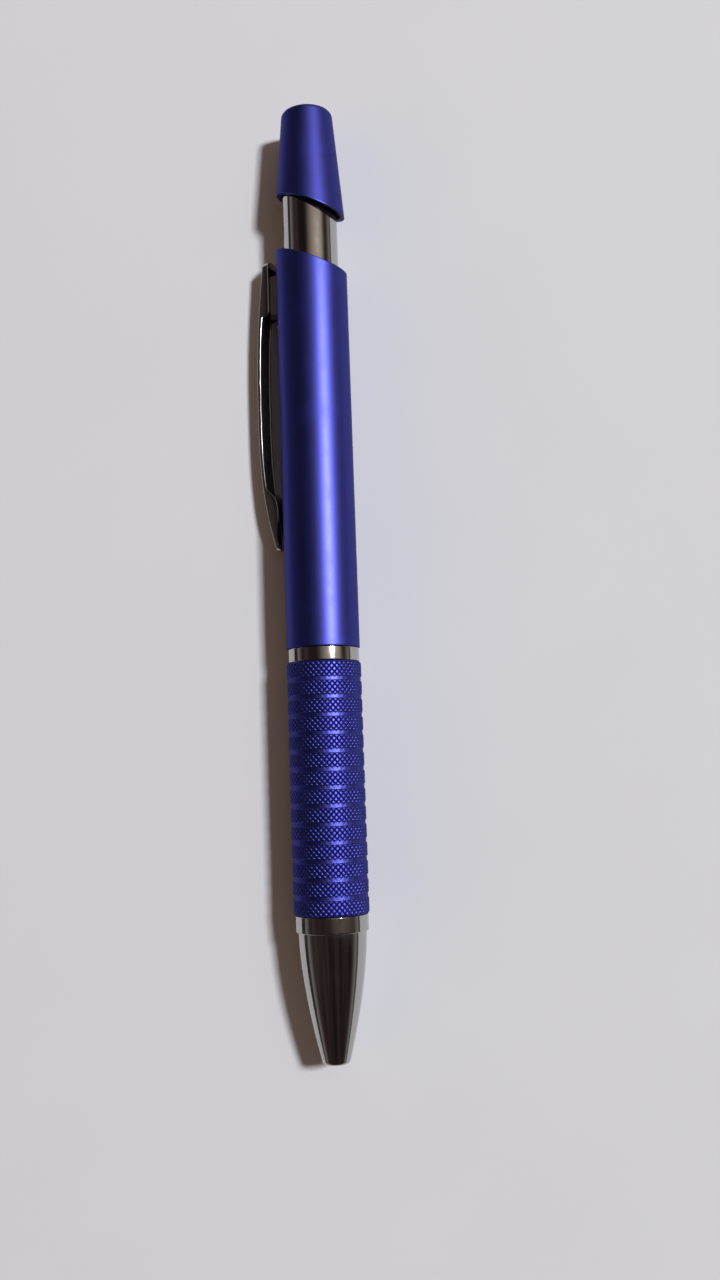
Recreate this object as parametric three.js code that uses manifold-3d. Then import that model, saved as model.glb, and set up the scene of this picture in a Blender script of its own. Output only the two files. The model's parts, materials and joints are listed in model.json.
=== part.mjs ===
// A retractable metal ball pen, lying on its side. Millimetres, +Z up, button towards +Y.
// Lengths along the pen are stations: the distance from the tip of the nose.
// The clip points towards -X and down, because the pen has rolled until the clip meets the table.
import * as THREE from 'three';
import { mergeVertices } from 'three/addons/utils/BufferGeometryUtils.js';
import Module from 'manifold-3d';

const wasm = await Module();
wasm.setup();

// Nose
const NOSE_LENGTH = 18.2;
const NOSE_TIP_DIAMETER = 3.8;
const NOSE_SHOULDER = 0.325; // from the collar in to the ogive
const NOSE_FULLNESS = 1.65; // exponent of the ogive: 1 is a straight cone
const NOSE_EDGE = 0.2;
const NOSE_STEPS = 10;
const COLLAR_LENGTH = 2.3;
const COLLAR_RECESS = 0.175; // from the grip in to the collar
const POINT_HOLE_CLEARANCE = 0.125;
const POINT_HOLE_LENGTH = 5;
const NOSE_SPIGOT_LENGTH = 6.5;
const SPRING_BORE_CLEARANCE = 0.2;

// Grip
const GRIP_LENGTH = 35.6;
const GRIP_PROUD = 0.1; // from the upper barrel out to the grip
const GRIP_WALL = 1;
const GROOVE_COUNT = 13;
const GROOVE_WIDTH = 0.7;
const GROOVE_DEPTH = 0.12;
const GROOVE_FLANK = 0.12;

// Centre ring
const RING_LENGTH = 1.95;
const RING_RECESS = 0.135; // from the upper barrel in to the ring

// Screw thread between the barrels
const THREAD_BUSH_WALL = 0.35;
const THREAD_DEPTH = 0.4;
const THREAD_PITCH = 0.75;
const THREAD_TURNS = 4;
const THREAD_CREST = 0.12;
const THREAD_ROOT = 0.34;
const THREAD_LEAD = 1;
const THREAD_CLEARANCE = 0.1;

// Upper barrel
const BARREL_DIAMETER = 10.6;
const BARREL_WALL = 0.6;
const MOUTH_SLANT = THREE.MathUtils.degToRad(23);
const GUIDE_LENGTH = 5.6;
const GUIDE_WALL = 0.5;
const GUIDE_DEPTH = 2.8;
const GUIDE_SPACING = 6.7;
const THREAD_BUSH_LENGTH = 7;

// Button
const BUTTON_STROKE = 7;
const PRESSED_GAP = 1.65;
const CAP_LENGTH = 14.6;
const CAP_TAPER = THREE.MathUtils.degToRad(4.8);
const CAP_WALL = 0.7;
const CAP_EDGE = 0.35;
const TUBE_WALL = 0.45;
const TUBE_GRIP = 3;
const CORE_SOCKET_LENGTH = 8;

// Ratchet
const CAM_SEAT_LENGTH = 5;
const CAM_SEAT_OVERHANG = 1;
const CAM_CLEARANCE = 0.12;
const CAM_WALL = 0.5;
const CAM_RIB_HEIGHT = 0.6;
const CAM_LIP_LENGTH = 1;
const RIB_COUNT = 4;
const SLEEVE_RIB_ANGLE = THREE.MathUtils.degToRad(44);
const PUSH_RIB_ANGLE = THREE.MathUtils.degToRad(30);
const PUSH_RIB_LENGTH = 4;
const ROTOR_RIB_ANGLE = THREE.MathUtils.degToRad(18);
const ROTOR_RIB_LENGTH = 2.5;
const ROTOR_TURN = THREE.MathUtils.degToRad(22.5);
const ROTOR_ESCAPE = 0.3;
const ROTOR_SOCKET_DIAMETER = 3.4;
const ROTOR_SOCKET_DEPTH = 2.2;
const ROTOR_BORE = 2.4;
const TOOTH_COUNT = 8;
const TOOTH_HEIGHT = 0.8;
const STEM_SHOULDER = 0.42;

// Refill
const REFILL_LENGTH = 98.1;
const REFILL_DIAMETER = 6;
const REFILL_WALL = 0.35;
const REFILL_NECK_LENGTH = 16.8;
const REFILL_NECK_DIAMETER = 2.4;
const REFILL_NECK_WALL = 0.4;
const POINT_RECESS = 2.2;
const POINT_LENGTH = 6.5;
const POINT_CONE_LENGTH = 2.5;
const POINT_SPIGOT_LENGTH = 3;
const BALL_DIAMETER = 0.7;
const INK_AIR_LENGTH = 13.55; // between the ink and the plug
const PLUG_LENGTH = 5;

// Return spring
const WIRE_DIAMETER = 0.4;
const SPRING_DIAMETER = 4.5;
const SPRING_COILS = 9;

// Clip, with its rise measured from the upper barrel's surface
const CLIP_LENGTH = 44.5;
const CLIP_TOP_RISE = 1.15; // past the middle of the slanted mouth
const CLIP_WIDTH = 3.3;
const CLIP_SHEET = 0.4;
const CLIP_CROWN_RISE = 3.64;
const CLIP_CROWN_DROP = 22;
const CLIP_END_RISE = 2.3;
const CLIP_END_LAND = 0.1; // from the turned-in end to the cheeks' edge
const CLIP_TIP_RISE = 1.55;
const CLIP_TOP_CORNER = 1.1;
const CLIP_TIP_WIDTH = 1.5;
const CLIP_TIP_TAPER = 7;
const CLIP_CHEEK_LENGTH = 7.8;
const CLIP_CHEEK_GAP = 1.25;
const CLIP_LIP_DEPTH = 0.6;
const CLIP_LOBE_LENGTH = 8.6;
const CLIP_LOBE_GAP = 0.8;
const BOW_LOWER_SHARE = 0.84;
const BOW_UPPER_SHARE = 0.24;
const CLIP_STEPS = 16;
const CLIP_EDGE_STEPS = 6;
const FOOT_LENGTH = 6;
const FOOT_DROP = 2.4;

// Fits and small breaks
const SEAM = 0.05;
const FIT = 0.05;
const SLIDE_FIT = 0.08;
const BREAK = 0.18;
const LOOSE_FIT = 0.15;
const BALL_FIT = 0.02;
const REST_CLEARANCE = 0.05;
const FACETS = 32;
const INNER_FACETS = 24;
const WIRE_SIDES = 5;
const STEPS_PER_COIL = 10;
const STEPS_PER_THREAD_TURN = 18;
const RIB_STEPS = 3;

// Stations along the axis
const GRIP_START = NOSE_LENGTH + COLLAR_LENGTH + SEAM;
const GRIP_END = GRIP_START + GRIP_LENGTH;
const RING_START = GRIP_END + SEAM;
const BARREL_START = RING_START + RING_LENGTH + SEAM;
const THREAD_START = BARREL_START + THREAD_LEAD;
const THREAD_LENGTH = THREAD_TURNS * THREAD_PITCH;
const REFILL_SHOULDER = POINT_RECESS + REFILL_NECK_LENGTH;
const REFILL_REAR = POINT_RECESS + REFILL_LENGTH;
const CAM_RIB_START = REFILL_REAR + LOOSE_FIT;
const CAM_SEAT_TOP = CAM_RIB_START + CAM_SEAT_OVERHANG;
const ROTOR_RIB_TOP = CAM_RIB_START + BUTTON_STROKE - ROTOR_ESCAPE;
const ROTOR_TOP = ROTOR_RIB_TOP + TOOTH_HEIGHT;
const PUSH_START = ROTOR_TOP + FIT;
const PUSH_RIB_START = PUSH_START + TOOTH_HEIGHT;
const PUSH_RIB_TOP = PUSH_RIB_START + PUSH_RIB_LENGTH;
const CAM_TOP = PUSH_RIB_TOP + FIT + CAM_LIP_LENGTH;
const TUBE_START = CAM_SEAT_TOP + BUTTON_STROKE + LOOSE_FIT;
const CORE_START = CAM_TOP + BUTTON_STROKE + LOOSE_FIT;
const GUIDE_START = CAM_SEAT_TOP + GUIDE_SPACING;
const MOUTH = GUIDE_START + GUIDE_LENGTH + GUIDE_DEPTH;
const CAP_START = MOUTH + BUTTON_STROKE + PRESSED_GAP;
const TUBE_END = CAP_START + TUBE_GRIP;
const OVERALL_LENGTH = CAP_START + CAP_LENGTH;
const CLIP_TOP = MOUTH + CLIP_TOP_RISE;
const CLIP_TIP = CLIP_TOP - CLIP_LENGTH;

// Radii that several pieces share, each from the piece that it fits in or on
const BARREL_RADIUS = BARREL_DIAMETER / 2;
const BARREL_BORE_RADIUS = BARREL_RADIUS - BARREL_WALL;
const BUSH_RADIUS = BARREL_BORE_RADIUS - FIT;
const GRIP_RADIUS = BARREL_RADIUS + GRIP_PROUD;
const GRIP_BORE_RADIUS = GRIP_RADIUS - GRIP_WALL;
const COLLAR_RADIUS = GRIP_RADIUS - COLLAR_RECESS;
const NOSE_BASE_RADIUS = COLLAR_RADIUS - NOSE_SHOULDER;
const THREAD_RADIUS = BUSH_RADIUS - THREAD_BUSH_WALL - THREAD_CLEARANCE;
const TUBE_RADIUS = BUSH_RADIUS - GUIDE_WALL - SLIDE_FIT;
const TUBE_BORE_RADIUS = TUBE_RADIUS - TUBE_WALL;
const CAM_RADIUS = TUBE_BORE_RADIUS - CAM_CLEARANCE;
const GROOVE_RADIUS = CAM_RADIUS - CAM_WALL;
const RIB_RADIUS = GROOVE_RADIUS - CAM_RIB_HEIGHT;
const SLIDING_RIB_RADIUS = GROOVE_RADIUS - FIT - SLIDE_FIT;
const STEM_RADIUS = RIB_RADIUS - SLIDE_FIT;
const STEM_END_RADIUS = STEM_RADIUS - STEM_SHOULDER;
const REFILL_RADIUS = REFILL_DIAMETER / 2;
const REFILL_RUN_RADIUS = REFILL_RADIUS + LOOSE_FIT;
const NECK_RADIUS = REFILL_NECK_DIAMETER / 2;
const POINT_HOLE_RADIUS = NECK_RADIUS + POINT_HOLE_CLEARANCE;
const SPRING_BORE_RADIUS = SPRING_DIAMETER / 2 + SPRING_BORE_CLEARANCE;
const CLIP_CROWN_REACH = BARREL_RADIUS + CLIP_CROWN_RISE;
const CLIP_END_REACH = BARREL_RADIUS + CLIP_END_RISE;
const CLIP_END_ROUND = CLIP_END_RISE - CLIP_CHEEK_GAP - CLIP_END_LAND;
const CLIP_TIP_REACH = BARREL_RADIUS + CLIP_TIP_RISE;

// How the pen lies: on a facet of the grip and the clip's lower edge
const AXIS_HEIGHT = GRIP_RADIUS * Math.cos(Math.PI / FACETS);
const CLIP_EDGE_RADIUS = Math.hypot(CLIP_CROWN_REACH, CLIP_WIDTH / 2);
const CLIP_EDGE_ANGLE = Math.atan2(CLIP_WIDTH / 2, CLIP_CROWN_REACH);
const CLIP_DIP = Math.asin((AXIS_HEIGHT - REST_CLEARANCE) / CLIP_EDGE_RADIUS) - CLIP_EDGE_ANGLE;
const CLIP_TURN = Math.PI - CLIP_DIP;
const CLIP_SIDE_REACH = CLIP_EDGE_RADIUS * Math.cos(CLIP_DIP - CLIP_EDGE_ANGLE);
const AXIS_OFFSET = (CLIP_SIDE_REACH - AXIS_HEIGHT) / 2;

// A turned piece: [radius, station] pairs, up the outside and down the inside
function turned(outline, facets = FACETS) {
  const loop = [...outline];
  const [first, last] = [outline[0], outline[outline.length - 1]];
  if (first[0] > 0 || last[0] > 0) {
    loop.push(first);
  }
  const points = loop.map(([radius, station]) => new THREE.Vector2(radius, station));
  const lathe = new THREE.LatheGeometry(points, facets, Math.PI / facets);
  lathe.computeVertexNormals();
  return lathe;
}

// A plain tube between two stations, with a small break on its outer edges
function tube(outer, inner, start, end, edge = 0, facets = FACETS) {
  const outside = edge
    ? [[outer - edge, start], [outer, start + edge], [outer, end - edge], [outer - edge, end]]
    : [[outer, start], [outer, end]];
  return turned([...outside, [inner, end], [inner, start]], facets);
}

function toSolid(geometry) {
  const bare = geometry.clone();
  bare.deleteAttribute('normal');
  bare.deleteAttribute('uv');
  const merged = mergeVertices(bare);
  return new wasm.Manifold(new wasm.Mesh({
    numProp: 3,
    vertProperties: new Float32Array(merged.attributes.position.array),
    triVerts: new Uint32Array(merged.index.array),
  }));
}

function toGeometry(solid) {
  const mesh = solid.getMesh();
  const geometry = new THREE.BufferGeometry();
  geometry.setAttribute('position', new THREE.BufferAttribute(mesh.vertProperties, 3));
  geometry.setIndex(new THREE.BufferAttribute(mesh.triVerts, 1));
  geometry.computeVertexNormals();
  return geometry;
}

function cut(body, ...tools) {
  return toGeometry(tools.reduce((solid, tool) => solid.subtract(toSolid(tool)), toSolid(body)));
}

function join(body, ...others) {
  return toGeometry(others.reduce((solid, other) => solid.add(toSolid(other)), toSolid(body)));
}

// A shape drawn as [reach, station] pairs, given a width across the clip's middle plane
function slab(outline, width) {
  const shape = new THREE.Shape(outline.map(([reach, station]) => new THREE.Vector2(reach, station)));
  const geometry = new THREE.ExtrudeGeometry(shape, { depth: width, bevelEnabled: false });
  return geometry.translate(0, 0, -width / 2);
}

// Everything on one side of the slanted plane that crosses the axis at a station
function slantedBlock(station, above) {
  const size = 4 * BARREL_DIAMETER;
  const block = new THREE.BoxGeometry(size, size, size);
  block.translate(0, above ? size / 2 : -size / 2, 0);
  block.rotateZ(MOUTH_SLANT);
  block.translate(0, station, 0);
  return block.rotateY(CLIP_TURN);
}

// Ribs that run along a turned piece, spaced evenly round it
function ribs(inner, outer, start, end, width, turn) {
  return Array.from({ length: RIB_COUNT }, (_, index) => {
    const middle = turn + (index * 2 * Math.PI) / RIB_COUNT;
    const sector = new THREE.Shape();
    sector.absarc(0, 0, outer, middle - width / 2, middle + width / 2, false);
    sector.absarc(0, 0, inner, middle + width / 2, middle - width / 2, true);
    const sizes = { depth: end - start, bevelEnabled: false, curveSegments: RIB_STEPS };
    const rib = new THREE.ExtrudeGeometry(sector, sizes);
    return rib.rotateX(-Math.PI / 2).translate(0, start, 0);
  });
}

// Pulls the end face at a station into a crown of teeth
function crown(geometry, station, height) {
  const at = geometry.attributes.position;
  for (let index = 0; index < at.count; index += 1) {
    if (Math.abs(at.getY(index) - station) < FIT / 2) {
      const angle = Math.atan2(at.getX(index), at.getZ(index)) + 2 * Math.PI;
      const phase = (angle * TOOTH_COUNT) / (2 * Math.PI) + 0.5;
      const rise = Math.abs(2 * (phase - Math.floor(phase)) - 1);
      at.setY(index, station + height * rise);
    }
  }
  return geometry;
}

// One thread ridge: a section of [radius, offset along the axis] pairs wound round the axis
function ridge(section, start, turn) {
  const steps = THREAD_TURNS * STEPS_PER_THREAD_TURN;
  const sides = section.length;
  const positions = [];
  const faces = [];
  for (let step = 0; step <= steps; step += 1) {
    const angle = turn + (2 * Math.PI * step) / STEPS_PER_THREAD_TURN;
    const rise = start + (THREAD_PITCH * step) / STEPS_PER_THREAD_TURN;
    for (const [radius, offset] of section) {
      positions.push(radius * Math.sin(angle), rise + offset, radius * Math.cos(angle));
    }
  }
  for (let step = 0; step < steps; step += 1) {
    for (let side = 0; side < sides; side += 1) {
      const next = (side + 1) % sides;
      const [near, far] = [step * sides, (step + 1) * sides];
      faces.push(near + side, far + side, near + next, far + next, near + next, far + side);
    }
  }
  const last = steps * sides;
  faces.push(0, 1, 2, 0, 2, 3, last, last + 2, last + 1, last, last + 3, last + 2);
  const geometry = new THREE.BufferGeometry();
  geometry.setAttribute('position', new THREE.Float32BufferAttribute(positions, 3));
  geometry.setIndex(faces);
  return geometry;
}

function noseRadius(station) {
  const share = 1 - Math.pow(1 - station / NOSE_LENGTH, NOSE_FULLNESS);
  return THREE.MathUtils.lerp(NOSE_TIP_DIAMETER / 2, NOSE_BASE_RADIUS, share);
}

function noseCone() {
  const outside = [[noseRadius(0) - NOSE_EDGE, 0]];
  for (let step = 0; step <= NOSE_STEPS; step += 1) {
    const station = NOSE_EDGE + ((NOSE_LENGTH - NOSE_EDGE) * step) / NOSE_STEPS;
    outside.push([noseRadius(station), station]);
  }
  const spigot = GRIP_BORE_RADIUS - FIT;
  const end = NOSE_LENGTH + COLLAR_LENGTH + NOSE_SPIGOT_LENGTH;
  const refillBore = REFILL_SHOULDER - BUTTON_STROKE - SEAM - LOOSE_FIT;
  return turned([
    ...outside,
    [COLLAR_RADIUS - BREAK, NOSE_LENGTH],
    [COLLAR_RADIUS, NOSE_LENGTH + BREAK],
    [COLLAR_RADIUS, NOSE_LENGTH + COLLAR_LENGTH],
    [spigot, NOSE_LENGTH + COLLAR_LENGTH],
    [spigot, end],
    [REFILL_RUN_RADIUS, end],
    [REFILL_RUN_RADIUS, refillBore],
    [SPRING_BORE_RADIUS, refillBore],
    [SPRING_BORE_RADIUS, POINT_HOLE_LENGTH],
    [POINT_HOLE_RADIUS, POINT_HOLE_LENGTH],
    [POINT_HOLE_RADIUS, 0],
  ]);
}

function gripSleeve() {
  const pitch = GRIP_LENGTH / (GROOVE_COUNT + 1);
  const outside = [[GRIP_RADIUS - BREAK, GRIP_START], [GRIP_RADIUS, GRIP_START + BREAK]];
  for (let index = 1; index <= GROOVE_COUNT; index += 1) {
    const middle = GRIP_START + index * pitch;
    outside.push([GRIP_RADIUS, middle - GROOVE_WIDTH / 2]);
    outside.push([GRIP_RADIUS - GROOVE_DEPTH, middle - GROOVE_WIDTH / 2 + GROOVE_FLANK]);
    outside.push([GRIP_RADIUS - GROOVE_DEPTH, middle + GROOVE_WIDTH / 2 - GROOVE_FLANK]);
    outside.push([GRIP_RADIUS, middle + GROOVE_WIDTH / 2]);
  }
  outside.push([GRIP_RADIUS, GRIP_END - BREAK], [GRIP_RADIUS - BREAK, GRIP_END]);
  return turned([...outside, [GRIP_BORE_RADIUS, GRIP_END], [GRIP_BORE_RADIUS, GRIP_START]]);
}

function gripLiner() {
  const outer = GRIP_BORE_RADIUS - FIT;
  const core = THREAD_RADIUS - THREAD_DEPTH;
  const start = NOSE_LENGTH + COLLAR_LENGTH + NOSE_SPIGOT_LENGTH + LOOSE_FIT;
  const neckEnd = THREAD_START - THREAD_ROOT;
  const end = THREAD_START + THREAD_LENGTH + THREAD_ROOT;
  const body = turned([
    [outer, start],
    [outer, GRIP_END - FIT],
    [THREAD_RADIUS, GRIP_END - FIT],
    [THREAD_RADIUS, neckEnd],
    [core, neckEnd],
    [core, end],
    [REFILL_RUN_RADIUS, end],
    [REFILL_RUN_RADIUS, start],
  ]);
  const section = [
    [core - FIT, -THREAD_ROOT / 2],
    [THREAD_RADIUS, -THREAD_CREST / 2],
    [THREAD_RADIUS, THREAD_CREST / 2],
    [core - FIT, THREAD_ROOT / 2],
  ];
  return join(body, ridge(section, THREAD_START, 0));
}

function threadBush() {
  const bore = THREAD_RADIUS + THREAD_CLEARANCE;
  const crest = THREAD_RADIUS - THREAD_DEPTH + THREAD_CLEARANCE;
  const body = tube(BUSH_RADIUS, bore, BARREL_START + FIT, BARREL_START + THREAD_BUSH_LENGTH);
  const section = [
    [crest, THREAD_CREST / 2],
    [crest, -THREAD_CREST / 2],
    [bore + FIT, -THREAD_ROOT / 2],
    [bore + FIT, THREAD_ROOT / 2],
  ];
  return join(body, ridge(section, THREAD_START, Math.PI));
}

function centreRing() {
  const end = RING_START + RING_LENGTH;
  const outer = BARREL_RADIUS - RING_RECESS;
  return tube(outer, THREAD_RADIUS + THREAD_CLEARANCE, RING_START, end, BREAK);
}

function upperBarrel() {
  const top = MOUTH + BARREL_DIAMETER;
  const body = turned([
    [BARREL_RADIUS - BREAK, BARREL_START],
    [BARREL_RADIUS, BARREL_START + BREAK],
    [BARREL_RADIUS, top],
    [BARREL_BORE_RADIUS, top],
    [BARREL_BORE_RADIUS, BARREL_START],
  ]);
  const slot = new THREE.BoxGeometry(BARREL_DIAMETER, FOOT_LENGTH + 2 * FIT, footWidth() + 2 * FIT);
  slot.translate(BARREL_RADIUS, CLIP_TOP - FOOT_DROP - FOOT_LENGTH / 2, 0);
  slot.rotateY(CLIP_TURN);
  return cut(body, slantedBlock(MOUTH, true), slot);
}

function guideBush() {
  return tube(BUSH_RADIUS, TUBE_RADIUS + SLIDE_FIT, GUIDE_START, GUIDE_START + GUIDE_LENGTH);
}

function plungerTube() {
  return tube(TUBE_RADIUS, TUBE_BORE_RADIUS, TUBE_START, TUBE_END);
}

// The cap's outside tapers evenly, and its bore closes on the end of the plunger tube
function capRadius(station) {
  return TUBE_RADIUS + FIT + CAP_WALL + Math.tan(CAP_TAPER) * (TUBE_END - station);
}

function buttonCap() {
  const skirt = CAP_START - BARREL_RADIUS;
  const roof = OVERALL_LENGTH - CAP_WALL;
  const body = turned([
    [capRadius(skirt), skirt],
    [capRadius(OVERALL_LENGTH - CAP_EDGE), OVERALL_LENGTH - CAP_EDGE],
    [capRadius(OVERALL_LENGTH) - CAP_EDGE, OVERALL_LENGTH],
    [0, OVERALL_LENGTH],
    [0, roof],
    [capRadius(roof) - CAP_WALL, roof],
    [capRadius(skirt) - CAP_WALL, skirt],
  ]);
  return cut(body, slantedBlock(CAP_START, false));
}

function buttonCore() {
  const shoulder = TUBE_END + FIT;
  const top = OVERALL_LENGTH - CAP_WALL - FIT;
  const socketTop = CORE_START + CORE_SOCKET_LENGTH;
  return turned([
    [TUBE_BORE_RADIUS - FIT, CORE_START],
    [TUBE_BORE_RADIUS - FIT, shoulder],
    [capRadius(shoulder) - CAP_WALL - FIT, shoulder],
    [capRadius(top) - CAP_WALL - FIT, top],
    [0, top],
    [0, socketTop],
    [STEM_END_RADIUS + FIT, socketTop],
    [STEM_END_RADIUS + FIT, CORE_START],
  ]);
}

function pushCam() {
  const stemTop = CORE_START - FIT;
  const body = turned([
    [STEM_RADIUS, PUSH_START],
    [STEM_RADIUS, stemTop],
    [STEM_END_RADIUS, stemTop],
    [STEM_END_RADIUS, CORE_START + CORE_SOCKET_LENGTH - FIT],
    [0, CORE_START + CORE_SOCKET_LENGTH - FIT],
    [0, PUSH_RIB_START + BREAK],
    [ROTOR_BORE / 2, PUSH_RIB_START + BREAK],
    [ROTOR_BORE / 2, PUSH_START],
  ], INNER_FACETS);
  const toothed = crown(body, PUSH_START, TOOTH_HEIGHT);
  const root = STEM_RADIUS - SLIDE_FIT;
  const fins = ribs(root, SLIDING_RIB_RADIUS, PUSH_RIB_START, PUSH_RIB_TOP, PUSH_RIB_ANGLE, 0);
  return join(toothed, ...fins);
}

function rotor() {
  const start = REFILL_REAR + FIT;
  const body = turned([
    [STEM_RADIUS, start],
    [STEM_RADIUS, ROTOR_RIB_TOP],
    [ROTOR_BORE / 2, ROTOR_RIB_TOP],
    [ROTOR_BORE / 2, start + ROTOR_SOCKET_DEPTH],
    [ROTOR_SOCKET_DIAMETER / 2, start + ROTOR_SOCKET_DEPTH],
    [ROTOR_SOCKET_DIAMETER / 2, start],
  ], INNER_FACETS);
  const toothed = crown(body, ROTOR_RIB_TOP, TOOTH_HEIGHT);
  const root = STEM_RADIUS - SLIDE_FIT;
  const top = ROTOR_RIB_TOP - FIT;
  const bottom = top - ROTOR_RIB_LENGTH;
  const fins = ribs(root, SLIDING_RIB_RADIUS, bottom, top, ROTOR_RIB_ANGLE, -ROTOR_TURN / 2);
  return join(toothed, ...fins);
}

function camSleeve() {
  const body = turned([
    [BUSH_RADIUS, CAM_SEAT_TOP - CAM_SEAT_LENGTH],
    [BUSH_RADIUS, CAM_SEAT_TOP],
    [CAM_RADIUS, CAM_SEAT_TOP],
    [CAM_RADIUS, CAM_TOP],
    [RIB_RADIUS, CAM_TOP],
    [RIB_RADIUS, CAM_TOP - CAM_LIP_LENGTH],
    [GROOVE_RADIUS, CAM_TOP - CAM_LIP_LENGTH],
    [GROOVE_RADIUS, CAM_RIB_START],
    [REFILL_RUN_RADIUS, CAM_RIB_START],
    [REFILL_RUN_RADIUS, CAM_SEAT_TOP - CAM_SEAT_LENGTH],
  ], INNER_FACETS);
  const between = Math.PI / RIB_COUNT;
  const ribTop = CAM_TOP - CAM_LIP_LENGTH / 2;
  const fins = ribs(RIB_RADIUS, GROOVE_RADIUS + FIT, CAM_RIB_START, ribTop, SLEEVE_RIB_ANGLE, between);
  return join(body, ...fins);
}

function refillTube() {
  const neckStart = POINT_RECESS + POINT_LENGTH - POINT_SPIGOT_LENGTH;
  const rear = REFILL_REAR - PLUG_LENGTH / 2;
  return turned([
    [NECK_RADIUS, neckStart],
    [NECK_RADIUS, REFILL_SHOULDER],
    [REFILL_RADIUS - REFILL_WALL, REFILL_SHOULDER],
    [REFILL_RADIUS, REFILL_SHOULDER + REFILL_WALL],
    [REFILL_RADIUS, rear],
    [REFILL_RADIUS - REFILL_WALL, rear],
    [REFILL_RADIUS - REFILL_WALL, REFILL_SHOULDER + 2 * REFILL_WALL],
    [NECK_RADIUS - REFILL_NECK_WALL, REFILL_SHOULDER + 2 * REFILL_WALL],
    [NECK_RADIUS - REFILL_NECK_WALL, neckStart],
  ], INNER_FACETS);
}

function refillPlug() {
  const bore = REFILL_RADIUS - REFILL_WALL - FIT;
  const rim = REFILL_REAR - PLUG_LENGTH / 2 + FIT;
  const nipple = ROTOR_SOCKET_DIAMETER / 2 - FIT;
  const nippleEnd = REFILL_REAR + ROTOR_SOCKET_DEPTH - LOOSE_FIT;
  return turned([
    [0, REFILL_REAR - PLUG_LENGTH],
    [bore, REFILL_REAR - PLUG_LENGTH],
    [bore, rim],
    [REFILL_RADIUS, rim],
    [REFILL_RADIUS, REFILL_REAR],
    [nipple, REFILL_REAR],
    [nipple, nippleEnd],
    [0, nippleEnd],
  ], INNER_FACETS);
}

function inkCharge() {
  const start = REFILL_SHOULDER + 2 * REFILL_WALL + FIT;
  const end = REFILL_REAR - PLUG_LENGTH - INK_AIR_LENGTH;
  const radius = REFILL_RADIUS - REFILL_WALL - FIT;
  return turned([[0, start], [radius, start], [radius, end], [0, end]], INNER_FACETS);
}

// The point's cone opens into a socket that holds the ball, with the ball's front half outside
function refillPoint() {
  const spigot = NECK_RADIUS - REFILL_NECK_WALL - FIT;
  const shoulder = POINT_RECESS + POINT_LENGTH - POINT_SPIGOT_LENGTH - FIT;
  const socket = BALL_DIAMETER / 2 + BALL_FIT;
  const rim = POINT_RECESS + BALL_DIAMETER / 2;
  return turned([
    [socket + 2 * BALL_FIT, rim],
    [NECK_RADIUS, POINT_RECESS + POINT_CONE_LENGTH],
    [NECK_RADIUS, shoulder],
    [spigot, shoulder],
    [spigot, POINT_RECESS + POINT_LENGTH],
    [socket / 2, POINT_RECESS + POINT_LENGTH],
    [socket / 2, rim + socket + BALL_FIT],
    [socket, rim + socket],
    [socket, rim],
  ], INNER_FACETS / 2);
}

function writingBall() {
  const ball = new THREE.SphereGeometry(BALL_DIAMETER / 2, INNER_FACETS / 2, INNER_FACETS / 4);
  return ball.translate(0, POINT_RECESS + BALL_DIAMETER / 2, 0);
}

class Coil extends THREE.Curve {
  getPoint(share, target = new THREE.Vector3()) {
    const radius = (SPRING_DIAMETER - WIRE_DIAMETER) / 2;
    const start = POINT_HOLE_LENGTH + WIRE_DIAMETER / 2 + FIT;
    const end = REFILL_SHOULDER - WIRE_DIAMETER / 2 - FIT;
    const angle = 2 * Math.PI * SPRING_COILS * share;
    return target.set(radius * Math.sin(angle), start + (end - start) * share, radius * Math.cos(angle));
  }
}

function returnSpring() {
  const corners = Array.from({ length: WIRE_SIDES }, (_, index) => {
    const angle = (2 * Math.PI * index) / WIRE_SIDES;
    return new THREE.Vector2(Math.cos(angle), Math.sin(angle)).multiplyScalar(WIRE_DIAMETER / 2);
  });
  return new THREE.ExtrudeGeometry(new THREE.Shape(corners), {
    steps: Math.round(SPRING_COILS * STEPS_PER_COIL),
    extrudePath: new Coil(),
    bevelEnabled: false,
  });
}

// The clip's outer face, from its tip to its top: bowed out at the crown and turned in at both ends
function clipFace() {
  const crown = CLIP_TOP - CLIP_CROWN_DROP;
  const shoulder = CLIP_TOP - CLIP_END_ROUND;
  const lift = CLIP_CROWN_REACH - CLIP_TIP_REACH;
  const fall = CLIP_CROWN_REACH - CLIP_END_REACH;
  const bow = new THREE.SplineCurve([
    new THREE.Vector2(CLIP_TIP_REACH, CLIP_TIP),
    new THREE.Vector2(CLIP_TIP_REACH + BOW_LOWER_SHARE * lift, (CLIP_TIP + crown) / 2),
    new THREE.Vector2(CLIP_CROWN_REACH, crown),
    new THREE.Vector2(CLIP_CROWN_REACH - BOW_UPPER_SHARE * fall, (crown + shoulder) / 2),
    new THREE.Vector2(CLIP_END_REACH, shoulder),
  ]);
  const round = CLIP_END_ROUND;
  const turn = new THREE.EllipseCurve(CLIP_END_REACH - round, shoulder, round, round, 0, Math.PI / 2);
  const points = [...bow.getPoints(CLIP_STEPS), ...turn.getPoints(CLIP_EDGE_STEPS / 2).slice(1)];
  return points.map((point) => [point.x, point.y]);
}

function clipReach(station) {
  const face = clipFace();
  const index = Math.max(face.findIndex((point) => point[1] >= station), 1);
  const [low, high] = [face[index - 1], face[index]];
  return THREE.MathUtils.mapLinear(station, low[1], high[1], low[0], high[0]);
}

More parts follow.
